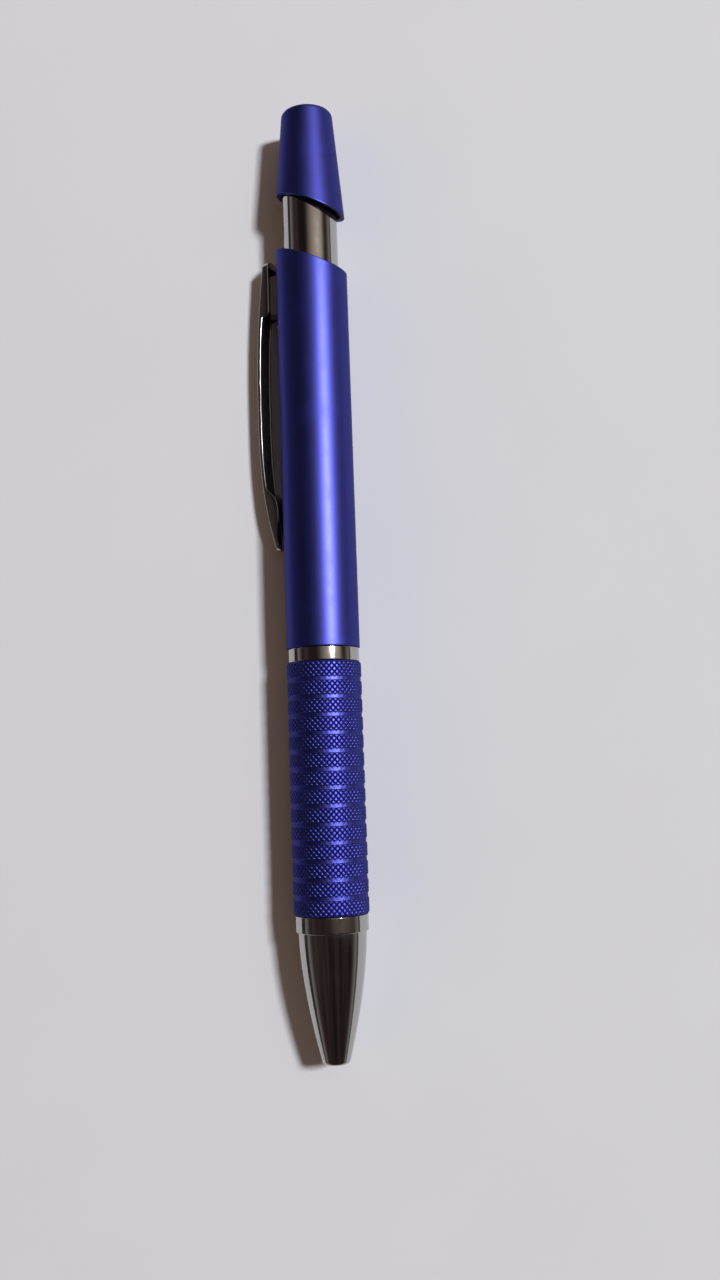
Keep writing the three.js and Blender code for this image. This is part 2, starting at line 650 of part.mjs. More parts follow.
// The free edge of a side wall: a deep cheek at the top, a shallow lip, and a round lobe over the tip
function clipEdge() {
  const cheekEnd = CLIP_TOP - CLIP_CHEEK_LENGTH;
  const lobeTop = CLIP_TIP + CLIP_LOBE_LENGTH;
  const lip = (station) => [clipReach(station) - CLIP_LIP_DEPTH, station];
  const edge = [[BARREL_RADIUS + CLIP_CHEEK_GAP, CLIP_TOP], [BARREL_RADIUS + CLIP_CHEEK_GAP, cheekEnd]];
  for (let step = 0; step <= CLIP_EDGE_STEPS; step += 1) {
    edge.push(lip(THREE.MathUtils.lerp(cheekEnd - CLIP_LIP_DEPTH, lobeTop, step / CLIP_EDGE_STEPS)));
  }
  const from = new THREE.Vector2(...lip(lobeTop));
  const to = new THREE.Vector2(CLIP_TIP_REACH - CLIP_SHEET / 2, CLIP_TIP);
  const pull = 2 * (BARREL_RADIUS + CLIP_LOBE_GAP) - (from.x + to.x) / 2;
  const belly = new THREE.QuadraticBezierCurve(from, new THREE.Vector2(pull, (lobeTop + CLIP_TIP) / 2), to);
  return [...edge, ...belly.getPoints(CLIP_EDGE_STEPS).slice(1).map((point) => [point.x, point.y])];
}

function clip() {
  const highest = CLIP_TOP - CLIP_END_ROUND;
  const lowest = CLIP_TIP + CLIP_END_ROUND;
  const under = (station) => [clipReach(station) - CLIP_SHEET, station];
  const stations = clipFace().map(([, station]) => station);
  const between = stations.filter((station) => station > lowest && station < highest);
  const channel = slab([
    ...[lowest, ...between, highest].map(under),
    [BARREL_RADIUS / 2, highest],
    [BARREL_RADIUS / 2, lowest],
  ], CLIP_WIDTH - 2 * CLIP_SHEET);
  const sides = slab([...clipFace(), ...clipEdge()], CLIP_WIDTH);
  const pressed = toSolid(cut(sides, channel)).intersect(toSolid(clipPlan()));
  return toGeometry(pressed).rotateY(CLIP_TURN);
}

// The clip seen from outside: rounded at the top and narrowed towards the tip
function clipPlan() {
  const half = CLIP_WIDTH / 2;
  const tip = CLIP_TIP_WIDTH / 2;
  const plan = new THREE.Shape();
  plan.moveTo(-half, CLIP_TIP + CLIP_TIP_TAPER);
  plan.quadraticCurveTo(-half, CLIP_TIP + CLIP_TIP_TAPER / 3, -tip, CLIP_TIP + tip / 2);
  plan.quadraticCurveTo(0, CLIP_TIP - tip / 2, tip, CLIP_TIP + tip / 2);
  plan.quadraticCurveTo(half, CLIP_TIP + CLIP_TIP_TAPER / 3, half, CLIP_TIP + CLIP_TIP_TAPER);
  const corner = CLIP_TOP_CORNER;
  plan.lineTo(half, CLIP_TOP - corner);
  plan.absarc(half - corner, CLIP_TOP - corner, corner, 0, Math.PI / 2, false);
  plan.absarc(corner - half, CLIP_TOP - corner, corner, Math.PI / 2, Math.PI, false);
  const depth = 2 * CLIP_CROWN_REACH;
  const block = new THREE.ExtrudeGeometry(plan, { depth, bevelEnabled: false, curveSegments: 5 });
  return block.rotateY(Math.PI / 2);
}

function footWidth() {
  return CLIP_WIDTH - 2 * CLIP_SHEET - 2 * LOOSE_FIT;
}

function clipFoot() {
  const top = CLIP_TOP - FOOT_DROP;
  const bottom = top - FOOT_LENGTH;
  const under = (station) => clipReach(station) - CLIP_SHEET - LOOSE_FIT;
  const seat = BUSH_RADIUS + FIT;
  const outline = [[seat, bottom], [under(bottom), bottom], [under((top + bottom) / 2), (top + bottom) / 2]];
  outline.push([under(top), top], [seat, top]);
  return slab(outline, footWidth()).rotateY(CLIP_TURN);
}

function finish(color, roughness, metalness) {
  return new THREE.MeshStandardMaterial({ color, roughness, metalness });
}

const blueLacquer = () => finish('#3a33a8', 0.35, 0.6);
const chrome = () => finish('#c9c7c4', 0.12, 1);
const brass = () => finish('#b8933f', 0.35, 1);
const springSteel = () => finish('#a9abad', 0.3, 1);
const blackPlastic = () => finish('#1b1b1d', 0.55, 0);
const whitePlastic = () => finish('#e6e4dd', 0.5, 0);
const refillSteel = () => finish('#b9bcc0', 0.3, 1);
const ink = () => finish('#152a7c', 0.4, 0);

const pieces = [
  ['nose_cone', noseCone, chrome],
  ['grip_sleeve', gripSleeve, blueLacquer],
  ['grip_liner', gripLiner, blackPlastic],
  ['centre_ring', centreRing, chrome],
  ['thread_bush', threadBush, brass],
  ['upper_barrel', upperBarrel, blueLacquer],
  ['guide_bush', guideBush, blackPlastic],
  ['plunger_tube', plungerTube, chrome],
  ['button_cap', buttonCap, blueLacquer],
  ['button_core', buttonCore, blackPlastic],
  ['push_cam', pushCam, whitePlastic],
  ['cam_sleeve', camSleeve, whitePlastic],
  ['rotor', rotor, whitePlastic],
  ['refill_tube', refillTube, refillSteel],
  ['refill_plug', refillPlug, blackPlastic],
  ['ink_charge', inkCharge, ink],
  ['refill_point', refillPoint, brass],
  ['writing_ball', writingBall, springSteel],
  ['return_spring', returnSpring, springSteel],
  ['clip', clip, chrome],
  ['clip_foot', clipFoot, chrome],
];

const pen = new THREE.Group();
for (const [name, shape, material] of pieces) {
  const mesh = new THREE.Mesh(shape(), material());
  mesh.name = name;
  pen.add(mesh);
}
pen.position.set(AXIS_OFFSET, -OVERALL_LENGTH / 2, AXIS_HEIGHT);

const model = new THREE.Group();
model.add(pen);

export default model;
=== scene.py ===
import json
import math

import bmesh
import bpy
from mathutils import Matrix, Vector


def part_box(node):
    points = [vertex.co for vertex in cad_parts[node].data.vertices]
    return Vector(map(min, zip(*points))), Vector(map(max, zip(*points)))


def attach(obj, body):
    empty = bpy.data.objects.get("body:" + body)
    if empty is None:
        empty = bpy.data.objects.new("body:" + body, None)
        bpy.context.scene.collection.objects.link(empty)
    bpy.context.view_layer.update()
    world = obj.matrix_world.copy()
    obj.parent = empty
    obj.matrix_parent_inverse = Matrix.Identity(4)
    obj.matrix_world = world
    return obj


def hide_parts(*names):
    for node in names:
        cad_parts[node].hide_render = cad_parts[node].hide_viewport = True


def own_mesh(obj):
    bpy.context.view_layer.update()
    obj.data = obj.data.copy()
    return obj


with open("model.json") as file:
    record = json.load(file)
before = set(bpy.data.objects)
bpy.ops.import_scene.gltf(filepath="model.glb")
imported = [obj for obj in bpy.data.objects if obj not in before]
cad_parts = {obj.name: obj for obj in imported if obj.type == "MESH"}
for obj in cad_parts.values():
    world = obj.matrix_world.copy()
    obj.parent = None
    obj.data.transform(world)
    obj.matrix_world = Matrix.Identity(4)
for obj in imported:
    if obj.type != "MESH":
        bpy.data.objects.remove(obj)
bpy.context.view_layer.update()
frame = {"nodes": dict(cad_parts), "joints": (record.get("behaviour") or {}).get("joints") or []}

# Camera
# It looks down on the pen from 173 mm above its axis, leaning six degrees towards the button.
# The pen lies along Y, and its stations are lengths in millimetres from the tip of the nose.
MM = 0.001
CAMERA_HEIGHT = 173.06
CAMERA_STATION = 40.6
CAMERA_SIDE = 4.7
CAMERA_LEAN = 6.18
CAMERA_TURN = -2.0
CAMERA_LENS = 33.75
CAMERA_NEAR_END = 0.005

grip_low, grip_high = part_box("grip_sleeve")
axis = Vector(((grip_low.x + grip_high.x) / 2, 0, (grip_low.z + grip_high.z) / 2))
tip_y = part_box("nose_cone")[0].y


def in_scene(name, data):
    """A new object with this mesh, lamp or camera, put into the scene."""
    thing = bpy.data.objects.new(name, data)
    bpy.context.scene.collection.objects.link(thing)
    return thing


camera_data = bpy.data.cameras.new("camera")
camera_data.lens = CAMERA_LENS
camera_data.clip_start = CAMERA_NEAR_END
camera = in_scene("camera", camera_data)
camera.location = axis + Vector((
    CAMERA_SIDE * MM, tip_y + CAMERA_STATION * MM, CAMERA_HEIGHT * MM,
))
camera.rotation_euler = (math.radians(CAMERA_LEAN), 0, math.radians(CAMERA_TURN))
bpy.context.scene.camera = camera
bpy.context.scene.view_settings.view_transform = "Standard"


# Room
# A pale matt floor, one soft square lamp high on the right and a little behind the button, and a
# world that is mid grey low down and dark overhead, so that the chrome shows a dark middle and
# pale sides.
FLOOR_COLOUR = "#c3c6ce"
FLOOR_SIZE = 6.0
FIBRE_SIZE = 0.9
CLOUD_SIZE = 25

# The pale part of the floor, in millimetres from the middle, and the dark table past it.
PALE_LEFT = 31
PALE_RIGHT = 67
PALE_ENDS = 150
TABLE_COLOUR = "#1f1b1b"
TABLE_HEIGHT = 0.05

LAMP_WIDTH = 0.32
LAMP_DISTANCE = 2.5
LAMP_SIDE = 29.5
LAMP_BACK = 13
LAMP_POWER = 69
FILL_COLOUR = "#ffc685"
FILL_WIDTH = 1.2
FILL_DISTANCE = 1.3
FILL_SIDE = -60
FILL_POWER = 3.3

# The world's edges are pairs along a direction's X, Y or Z, between which one tone fades into
# the next.
WALL_COLOUR = "#8b8685"
WALL_TOP = (0.0, 0.35)
CEILING_COLOUR = "#241c1d"
BEAM_COLOUR = "#433937"
BEAM_STRETCH = (3.2, 0.6, 1.2)
BEAM_EDGE = (0.42, 0.68)
GLOW_COLOUR = "#b9aa9e"
GLOW_LEFT = (-0.35, 0.35)
GLOW_RIGHT = (0.97, 0.78)
GLOW_RIGHT_SLANT = (1, 0.35, 0)
GLOW_FRONT = (-0.2, 0.1)


def linear(code):
    """A colour written as an sRGB hex value, as linear red, green, blue and alpha."""
    channels = [int(code[index:index + 2], 16) / 255 for index in (1, 3, 5)]
    return [c / 12.92 if c <= 0.04045 else ((c + 0.055) / 1.055) ** 2.4 for c in channels] + [1]


def add(tree, kind, inputs=None, **settings):
    """Adds a shader node. Each input is a value, or the output that feeds it."""
    node = tree.nodes.new("ShaderNode" + kind)
    for name, value in settings.items():
        setattr(node, name, value)
    for name, value in (inputs or {}).items():
        if isinstance(value, bpy.types.NodeSocket):
            tree.links.new(value, node.inputs[name])
        else:
            node.inputs[name].default_value = value
    return node


def new_tree(name):
    """A material with an empty node tree."""
    material = bpy.data.materials.new(name)
    material.use_nodes = True
    material.node_tree.nodes.clear()
    return material, material.node_tree


def square_lamp(name, width, power, turn, distance):
    """A soft square lamp that shines at the pen, from straight above before it is turned."""
    data = bpy.data.lights.new(name, "AREA")
    data.shape = "SQUARE"
    data.size = width
    data.energy = power
    lamp = in_scene(name, data)
    lamp.location = axis + turn @ Vector((0, 0, distance))
    lamp.rotation_euler = turn.to_euler()
    return lamp


half = FLOOR_SIZE / 2
floor_corners = ((-half, -half), (half, -half), (half, half), (-half, half))
floor_mesh = bpy.data.meshes.new("floor")
floor_mesh.from_pydata([(x, y, 0) for x, y in floor_corners], [], [(0, 1, 2, 3)])
floor = in_scene("floor", floor_mesh)

matt, tree = new_tree("matt_floor")
where = add(tree, "TexCoord").outputs["Object"]
fibres = add(tree, "TexNoise", {"Vector": where, "Scale": 1 / (FIBRE_SIZE * MM), "Detail": 4.0})
clouds = add(tree, "TexNoise", {"Vector": where, "Scale": 1 / (CLOUD_SIZE * MM), "Detail": 2.0})
tone = add(tree, "MapRange", {
    "Value": clouds.outputs["Fac"], "From Min": 0.3, "From Max": 0.7,
    "To Min": 0.985, "To Max": 1.0,
})
tint = add(
    tree, "Mix", {"Factor": 1.0, "A": linear(FLOOR_COLOUR), "B": tone.outputs["Result"]},
    data_type="RGBA", blend_type="MULTIPLY",
)
relief = add(tree, "Bump", {
    "Height": fibres.outputs["Fac"], "Strength": 0.1, "Distance": 0.04 * MM,
})
surface = add(tree, "BsdfPrincipled", {
    "Base Color": tint.outputs["Result"],
    "Roughness": 0.85,
    "Specular IOR Level": 0.2,
    "Normal": relief.outputs["Normal"],
})
add(tree, "OutputMaterial", {"Surface": surface.outputs["BSDF"]})
floor_mesh.materials.append(matt)

# The floor that the pen reflects is pale up to a little outside the picture. Past that it
# reflects a dark table, which is seen in no other way.
pale_corners = (
    (-PALE_LEFT, -PALE_ENDS), (PALE_RIGHT, -PALE_ENDS),
    (PALE_RIGHT, PALE_ENDS), (-PALE_LEFT, PALE_ENDS),
)
table_points = [(x * MM, y * MM, TABLE_HEIGHT * MM) for x, y in pale_corners]
table_points += [(x, y, TABLE_HEIGHT * MM) for x, y in floor_corners]
table_faces = [(i, (i + 1) % 4, (i + 1) % 4 + 4, i + 4) for i in range(4)]
table_mesh = bpy.data.meshes.new("table")
table_mesh.from_pydata(table_points, [], table_faces)
table = in_scene("table", table_mesh)
table.visible_camera = False
table.visible_diffuse = False
table.visible_shadow = False
dark_table, tree = new_tree("dark_table")
surface = add(tree, "BsdfPrincipled", {"Base Color": linear(TABLE_COLOUR), "Roughness": 0.8})
add(tree, "OutputMaterial", {"Surface": surface.outputs["BSDF"]})
table_mesh.materials.append(dark_table)

lean_back = Matrix.Rotation(math.radians(-LAMP_BACK), 3, "X")
lean_right = Matrix.Rotation(math.radians(LAMP_SIDE), 3, "Y")
square_lamp("key", LAMP_WIDTH, LAMP_POWER, lean_back @ lean_right, LAMP_DISTANCE)

# A weak warm light from the left fills the shadow. Polished metal doesn't show it.
lean_left = Matrix.Rotation(math.radians(FILL_SIDE), 3, "Y")
fill = square_lamp("fill", FILL_WIDTH, FILL_POWER, lean_left, FILL_DISTANCE)
fill.data.color = linear(FILL_COLOUR)[:3]
fill.visible_glossy = False

world = bpy.data.worlds.new("room")
bpy.context.scene.world = world
world.use_nodes = True
tree = world.node_tree
tree.nodes.clear()
direction = add(tree, "TexCoord").outputs["Generated"]
heading = add(tree, "SeparateXYZ", {"Vector": direction}).outputs
stretched = add(tree, "Mapping", {"Vector": direction, "Scale": BEAM_STRETCH})
beams = add(tree, "TexNoise", {
    "Vector": stretched.outputs["Vector"], "Scale": 1.0, "Detail": 3.0, "Roughness": 0.6,
})
beam = add(tree, "MapRange", {
    "Value": beams.outputs["Fac"], "From Min": BEAM_EDGE[0], "From Max": BEAM_EDGE[1],
})
ceiling = add(tree, "Mix", {
    "Factor": beam.outputs["Result"], "A": linear(CEILING_COLOUR), "B": linear(BEAM_COLOUR),
}, data_type="RGBA")

# The lamp's light on the ceiling, round it and behind it, ends on the left, right and front.
slanted = add(
    tree, "VectorMath", {0: direction, 1: GLOW_RIGHT_SLANT}, operation="DOT_PRODUCT",
)
fades = []
for value, (start, end) in (
    (heading["Z"], WALL_TOP),
    (heading["X"], GLOW_LEFT),
    (slanted.outputs["Value"], GLOW_RIGHT),
    (heading["Y"], GLOW_FRONT),
):
    fade = add(
        tree, "MapRange", {"Value": value, "From Min": start, "From Max": end},
        interpolation_type="SMOOTHSTEP",
    )
    fades.append(fade.outputs["Result"])
rise, glow_left, glow_right, glow_front = fades
patch = add(tree, "Math", {0: glow_left, 1: glow_right}, operation="MULTIPLY")
glow = add(tree, "Math", {0: patch.outputs["Value"], 1: glow_front}, operation="MULTIPLY")
lit = add(tree, "Mix", {
    "Factor": glow.outputs["Value"], "A": ceiling.outputs["Result"], "B": linear(GLOW_COLOUR),
}, data_type="RGBA")
shade = add(tree, "Mix", {
    "Factor": rise, "A": linear(WALL_COLOUR), "B": lit.outputs["Result"],
}, data_type="RGBA")
back = add(tree, "Background", {"Color": shade.outputs["Result"], "Strength": 1.0})
add(tree, "OutputWorld", {"Surface": back.outputs["Background"]})


# Nose
# A turned brass ogive with a collar, polished and chrome plated, with a hole for the refill's
# point. It plugs into the lower barrel.
NOSE_LENGTH = 18.2
NOSE_TIP_RADIUS = 1.9
NOSE_BASE_RADIUS = 4.9
NOSE_FULLNESS = 1.65
NOSE_STEPS = 36
NOSE_SPIGOT_RADIUS = 4.35
COLLAR_RADIUS = 5.225
COLLAR_LENGTH = 2.3
POINT_HOLE_RADIUS = 1.325
POINT_HOLE_LENGTH = 5.0
NOSE_BORE_RADIUS = 2.45
NOSE_BORE_END = 11.8
REFILL_BORE_RADIUS = 3.15
TURNED_STEPS = 160
CORNER_STEPS = 4
WELD_DISTANCE = 0.0001
CHROME_ON_BRASS_COLOUR = "#b9b7b3"
CHROME_STREAK_SIZE = 0.5
CHROME_SMUDGE_SIZE = 3.5

# Angles round the pen start at the clip, whose side its hinge gives.
clip_hinge = next(joint for joint in frame["joints"] if joint["name"] == "clip_flex")
along_pen = Vector((0, 1, 0))
to_clip = along_pen.cross(Vector(clip_hinge["axis"])).normalized()
sideways = to_clip.cross(along_pen)


def place(radius, station, angle):
    """A point at a radius and station in millimetres and an angle from the clip, in metres."""
    across = to_clip * math.cos(angle) + sideways * math.sin(angle)
    return axis + across * (radius * MM) + Vector((0, tip_y + station * MM, 0))


def span(node):
    """The stations at which a CAD node starts and ends."""
    low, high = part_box(node)
    return (low.y - tip_y) / MM, (high.y - tip_y) / MM


def softened(outline):
    """Rounds each corner that carries a third number, its radius. On a long side, a row of points
    close to the corner keeps the shading flat."""
    points = []
    count = len(outline)
    for index, (radius, station, *corner) in enumerate(outline):
        here = Vector((radius, station))
        if not corner:
            points.append(here)
            continue
        before = Vector(outline[index - 1][:2]) - here
        after = Vector(outline[(index + 1) % count][:2]) - here
        near = here + before.normalized() * corner[0]
        far = here + after.normalized() * corner[0]
        if before.length > 4 * corner[0]:
            points.append(here + before.normalized() * corner[0] * 1.5)
        for step in range(CORNER_STEPS + 1):
            t = step / CORNER_STEPS
            points.append(near * (1 - t) ** 2 + here * 2 * t * (1 - t) + far * t ** 2)
        if after.length > 4 * corner[0]:
            points.append(here + after.normalized() * corner[0] * 1.5)
    return points


def welded(name, points, faces, sharp=35):
    """A closed piece: coincident points are joined, its faces look outwards, and it is smooth
    between edges sharper than an angle in degrees."""
    kept, places, new_index = [], {}, []
    for point in points:
        key = tuple(round(value / (WELD_DISTANCE * MM)) for value in point)
        if key not in places:
            places[key] = len(kept)
            kept.append(point)
        new_index.append(places[key])
    whole = []
    for face in faces:
        corners = list(dict.fromkeys(new_index[corner] for corner in face))
        if len(corners) > 2:
            whole.append(corners)
    mesh = bpy.data.meshes.new(name)
    mesh.from_pydata(kept, [], whole)
    measured = bmesh.new()
    measured.from_mesh(mesh)
    inside_out = measured.calc_volume(signed=True) < 0
    measured.free()
    if inside_out:
        mesh.flip_normals()
    mesh.shade_smooth()
    mesh.set_sharp_from_angle(angle=math.radians(sharp))
    return in_scene(name, mesh)


def band_faces(count, bands, closed):
    """Faces between neighbouring rings of points. A closed row of rings joins its last to its
    first."""
    faces = []
    for band in range(bands):
        near = band * count
        far = (band + 1) % bands * count if closed else near + count
        for index in range(count):
            other = (index + 1) % count
            faces.append((near + index, near + other, far + other, far + index))
    return faces


def turned(name, outline, steps=TURNED_STEPS):
    """A piece turned about the pen's axis, from an outline of (radius, station) that goes up the
    outside and down the inside. An outline may be a function of the angle from the clip."""
    points = []
    for step in range(steps):
        angle = 2 * math.pi * step / steps
        profile = softened(outline(angle) if callable(outline) else outline)
        points += [place(radius, station, angle) for radius, station in profile]
    return welded(name, points, band_faces(len(points) // steps, steps, True))


def chrome_plate(name, colour, roughness):
    """Bright chrome over a polished metal: a mirror, with faint streaks along the pen and marks
    of fingers."""
    material, tree = new_tree(name)
    where = add(tree, "TexCoord").outputs["Object"]
    along = add(tree, "Mapping", {"Vector": where, "Scale": (1, 0.03, 1)})
    streaks = add(tree, "TexNoise", {
        "Vector": along.outputs["Vector"], "Scale": 1 / (CHROME_STREAK_SIZE * MM), "Detail": 3.0,
    })
    smudges = add(tree, "TexNoise", {
        "Vector": where, "Scale": 1 / (CHROME_SMUDGE_SIZE * MM), "Detail": 2.0,
    })
    film = add(tree, "MapRange", {
        "Value": smudges.outputs["Fac"], "From Min": 0.45, "From Max": 0.75,
        "To Min": roughness, "To Max": roughness + 0.06,
    })
    relief = add(tree, "Bump", {
        "Height": streaks.outputs["Fac"], "Strength": 0.04, "Distance": 0.01 * MM,
    })
    surface = add(tree, "BsdfPrincipled", {
        "Base Color": linear(colour),
        "Metallic": 1.0,
        "Roughness": film.outputs["Result"],
        "Normal": relief.outputs["Normal"],
    })
    add(tree, "OutputMaterial", {"Surface": surface.outputs["BSDF"]})
    return material


def nose_radius(station):
    """The ogive's radius, which grows fast at the tip and hardly at its base."""
    share = 1 - (1 - station / NOSE_LENGTH) ** NOSE_FULLNESS
    return NOSE_TIP_RADIUS + (NOSE_BASE_RADIUS - NOSE_TIP_RADIUS) * share


nose_end = span("nose_cone")[1]
collar_end = NOSE_LENGTH + COLLAR_LENGTH
ogive_stations = [NOSE_LENGTH * step / NOSE_STEPS for step in range(1, NOSE_STEPS)]
nose = turned("turned_nose", [
    (NOSE_TIP_RADIUS, 0, 0.4),
    *((nose_radius(station), station) for station in ogive_stations),
    (NOSE_BASE_RADIUS, NOSE_LENGTH, 0.05),
    (COLLAR_RADIUS, NOSE_LENGTH, 0.14),
    (COLLAR_RADIUS, collar_end, 0.08),
    (NOSE_SPIGOT_RADIUS, collar_end),
    (NOSE_SPIGOT_RADIUS, nose_end, 0.2),
    (REFILL_BORE_RADIUS, nose_end, 0.1),
    (REFILL_BORE_RADIUS, NOSE_BORE_END),
    (NOSE_BORE_RADIUS, NOSE_BORE_END),
    (NOSE_BORE_RADIUS, POINT_HOLE_LENGTH),
    (POINT_HOLE_RADIUS, POINT_HOLE_LENGTH),
    (POINT_HOLE_RADIUS, 0, 0.12),
])
bright_chrome = chrome_plate("bright_chrome_on_brass", CHROME_ON_BRASS_COLOUR, roughness=0.08)
nose.data.materials.append(bright_chrome)
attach(nose, "grip")
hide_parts("nose_cone")


# Lower barrel
# A turned aluminium sleeve, diamond knurled, then grooved, and sprayed with the same satin
# lacquer as the upper barrel. It is pressed on the nose's spigot and on the threaded liner.
GRIP_BORE_RADIUS = 4.4
GRIP_CHAMFER = 0.2
BAND_COUNT = 14
GROOVE_DEPTH = 0.12
GROOVE_HALF_WIDTH = 0.42
GROOVE_FLOOR_HALF_WIDTH = 0.26

# Heights run from a diamond's crest, in equal steps, to the valley round it.
DIAMONDS_ROUND = 42
ROWS_PER_BAND = 18
STEPS_TO_VALLEY = 3
KNURL_DEPTH = 0.14
KNURL_HEIGHTS = (1.0, 1.0, 0.99, 0.0)

# The lacquer's flakes are about 0.03 mm across. They are drawn coarse, so that they show.
LACQUER_COLOUR = "#373b96"
LACQUER_EDGE_COLOUR = "#a0a0b0"
FLAKE_SIZE = 0.22
TURNING_MARK_SIZE = 0.35
HANDLING_PATCH_SIZE = 5


def knurled_sleeve(name):
    """The sleeve's outside as a grid whose lines follow the knurl, joined to a plain bore."""
    start, end = span("grip_sleeve")
    band = (end - start) / BAND_COUNT
    row_step = band / ROWS_PER_BAND
    pitch = 2 * STEPS_TO_VALLEY
    columns = pitch * DIAMONDS_ROUND
    crest_radius = axis.z / MM
    rows = [(row, start + row * row_step) for row in range(1, BAND_COUNT * ROWS_PER_BAND)]
    for groove in range(1, BAND_COUNT):
        middle = start + groove * band
        for half_width in (GROOVE_HALF_WIDTH, GROOVE_FLOOR_HALF_WIDTH):
            for offset in (-half_width, half_width):
                rows.append((ROWS_PER_BAND * groove + offset / row_step, middle + offset))
    rows.sort()

    def radius_at(row, station, column):
        """The knurl's height, cut down to the grooves and to the chamfers at both ends."""
        across, along = column % pitch, row % pitch
        steps = min(across, pitch - across) + min(along, pitch - along)
        steps = min(steps, pitch - steps)
        step = min(math.floor(steps), STEPS_TO_VALLEY - 1)
        low, high = KNURL_HEIGHTS[step + 1], KNURL_HEIGHTS[step]
        radius = crest_radius - KNURL_DEPTH * (1 - high - (low - high) * (steps - step))
        middle = start + band * round((station - start) / band)
        off = abs(station - middle)
        if start < middle < end and off <= GROOVE_HALF_WIDTH:
            flank = (off - GROOVE_FLOOR_HALF_WIDTH) / (GROOVE_HALF_WIDTH - GROOVE_FLOOR_HALF_WIDTH)
            radius = min(radius, crest_radius - GROOVE_DEPTH * (1 - max(flank, 0)))
        from_end = min(station - start, end - station)
        return min(radius, crest_radius - GRIP_CHAMFER + from_end)

    points, faces = [], []
    for row, station in rows:
        for column in range(columns):
            radius = radius_at(row, station, column)
            points.append(place(radius, station, 2 * math.pi * column / columns))
    for radius, station in (
        (crest_radius - GRIP_CHAMFER, end),
        (GRIP_BORE_RADIUS, end),
        (GRIP_BORE_RADIUS, start),
        (crest_radius - GRIP_CHAMFER, start),
    ):
        for column in range(columns):
            points.append(place(radius, station, 2 * math.pi * column / columns))

    # Each knurled square is split along the knurl's own line.
    for index, (a, b, c, d) in enumerate(band_faces(columns, len(rows) + 4, True)):
        band_index, column = divmod(index, columns)
        if band_index >= len(rows) - 1:
            faces.append((a, b, c, d))
            continue
        middle_row = (rows[band_index][0] + rows[band_index + 1][0]) / 2
        if (math.floor(middle_row / STEPS_TO_VALLEY) + column // STEPS_TO_VALLEY) % 2:
            faces += [(a, b, c), (a, c, d)]
        else:
            faces += [(a, b, d), (b, c, d)]
    return welded(name, points, faces, sharp=60)


# Fine flakes spread the lamp's light, a thin satin coat adds a paler light on top of it, and the
# pigment keeps the edges dark. Handling has rubbed it duller in patches.
blue_lacquer, tree = new_tree("satin_blue_lacquer")
where = add(tree, "TexCoord").outputs["Object"]
flakes = add(tree, "TexNoise", {"Vector": where, "Scale": 1 / (FLAKE_SIZE * MM), "Detail": 2.0})
across = add(tree, "Mapping", {"Vector": where, "Scale": (0.04, 1, 0.04)})
marks = add(tree, "TexNoise", {
    "Vector": across.outputs["Vector"], "Scale": 1 / (TURNING_MARK_SIZE * MM), "Detail": 3.0,
})
tone = add(tree, "MapRange", {
    "Value": marks.outputs["Fac"], "From Min": 0.3, "From Max": 0.7, "To Min": 0.97, "To Max": 1.02,
})
tint = add(
    tree, "Mix", {"Factor": 1.0, "A": linear(LACQUER_COLOUR), "B": tone.outputs["Result"]},
    data_type="RGBA", blend_type="MULTIPLY",
)
spread = add(tree, "MapRange", {
    "Value": flakes.outputs["Fac"], "From Min": 0.3, "From Max": 0.7, "To Min": 0.4, "To Max": 0.45,
})
handling = add(tree, "TexNoise", {
    "Vector": where, "Scale": 1 / (HANDLING_PATCH_SIZE * MM), "Detail": 5.0, "Roughness": 0.65,
})
rubbed = add(tree, "MapRange", {
    "Value": handling.outputs["Fac"], "From Min": 0.5, "From Max": 0.75,
    "To Min": 0.0, "To Max": 0.07,
})
rough = add(
    tree, "Math", {0: spread.outputs["Result"], 1: rubbed.outputs["Result"]}, operation="ADD",
)
relief = add(tree, "Bump", {
    "Height": flakes.outputs["Fac"], "Strength": 0.4, "Distance": 0.01 * MM,
})
surface = add(tree, "BsdfPrincipled", {
    "Base Color": tint.outputs["Result"],
    "Metallic": 1.0,
    "Specular Tint": linear(LACQUER_EDGE_COLOUR),
    "Roughness": rough.outputs["Value"],
    "Coat Weight": 0.4,
    "Coat Roughness": 0.44,
    "Normal": relief.outputs["Normal"],
})
add(tree, "OutputMaterial", {"Surface": surface.outputs["BSDF"]})

grip = knurled_sleeve("knurled_sleeve")
grip.data.materials.append(blue_lacquer)
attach(grip, "grip")
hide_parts("grip_sleeve")


# Centre ring
# A turned and chromed brass ring, held between the two barrels.
RING_RADIUS = 5.165
RING_BORE_RADIUS = 4.3

ring_start, ring_end = span("centre_ring")
ring = turned("ring", [
    (RING_RADIUS, ring_start, 0.12),
    (RING_RADIUS, ring_end, 0.12),
    (RING_BORE_RADIUS, ring_end, 0.1),
    (RING_BORE_RADIUS, ring_start, 0.1),
])
ring.data.materials.append(bright_chrome)
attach(ring, "ring")
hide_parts("centre_ring")


# Upper barrel
# A drawn aluminium tube with its mouth cut on a slant, high on the clip's side, lacquered satin
# blue. A slot under the clip's root takes the clip's foot.
BARREL_RADIUS = 5.3
BARREL_BORE_RADIUS = 4.7
BARREL_STEPS = 192
MOUTH_SLANT = math.tan(math.radians(23))
MOUTH_ABOVE_GUIDE = 2.8
# The dark colours of the painted shade inside the tube and the cap.
INSIDE_SHADE_COLOURS = ("#0c0c20", "#1c1d3c")
INSIDE_SHADE_SPECK_SIZE = 0.3
INWARDS_COSINE = -0.3

barrel_start = span("upper_barrel")[0]
mouth = span("guide_bush")[1] + MOUTH_ABOVE_GUIDE


